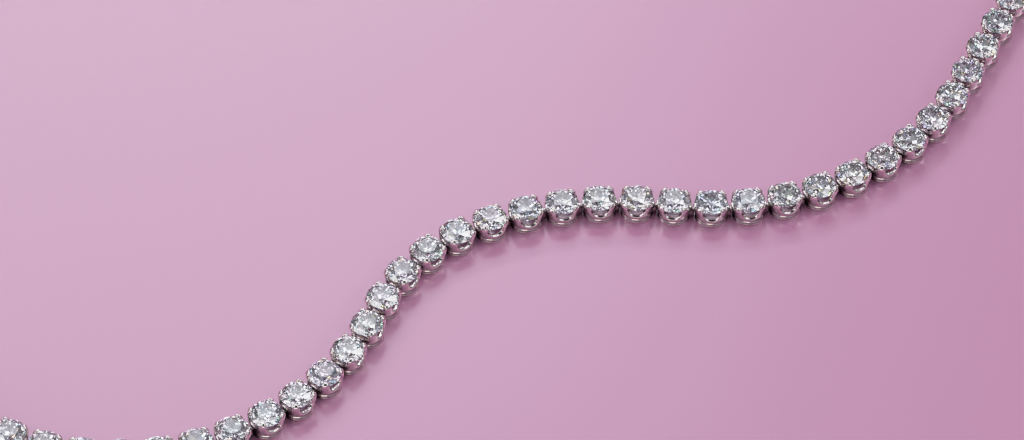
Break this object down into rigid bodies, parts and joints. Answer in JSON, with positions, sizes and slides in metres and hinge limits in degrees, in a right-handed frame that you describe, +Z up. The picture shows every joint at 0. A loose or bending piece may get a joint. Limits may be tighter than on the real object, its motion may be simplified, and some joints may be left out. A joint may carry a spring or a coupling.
{
  "type": "tennis necklace",
  "caption": "Tennis necklace lying flat in a closed, waved loop: round clear stones in clawed white metal cups, each hooked to the next, closed by a plain box clasp",
  "frame": {"origin": "middle of the underside of the bounding box of the loop as it lies, on the surface that it lies on", "axes": "+Z up from the surface, +X along the longer side of the loop, +Y towards its straight back run with the clasp"},
  "size_m": [0.155, 0.0994, 0.0033],
  "materials": {
    "white_gold": "polished",
    "diamond": "faceted, polished"
  },
  "bodies": {
    "root": {"setting_01": "white_gold", "stone_01": "diamond", "setting_02": "white_gold", "stone_02": "diamond", "setting_03": "white_gold", "stone_03": "diamond", "setting_04": "white_gold", "stone_04": "diamond", "setting_05": "white_gold", "stone_05": "diamond", "setting_06": "white_gold", "stone_06": "diamond", "setting_07": "white_gold", "stone_07": "diamond", "setting_08": "white_gold", "stone_08": "diamond", "setting_09": "white_gold", "stone_09": "diamond", "setting_10": "white_gold", "stone_10": "diamond", "setting_11": "white_gold", "stone_11": "diamond", "setting_12": "white_gold", "stone_12": "diamond", "setting_13": "white_gold", "stone_13": "diamond", "setting_14": "white_gold", "stone_14": "diamond", "setting_15": "white_gold", "stone_15": "diamond", "setting_16": "white_gold", "stone_16": "diamond", "setting_17": "white_gold", "stone_17": "diamond", "setting_18": "white_gold", "stone_18": "diamond", "row_01": "white_gold", "row_02": "white_gold", "row_03": "white_gold", "row_04": "white_gold", "row_05": "white_gold", "row_06": "white_gold", "row_07": "white_gold", "row_08": "white_gold", "row_09": "white_gold", "row_10": "white_gold", "row_11": "white_gold", "row_12": "white_gold", "row_13": "white_gold", "row_14": "white_gold", "row_15": "white_gold", "row_16": "white_gold", "row_17": "white_gold", "clasp": "white_gold"}
  },
  "joints": []
}
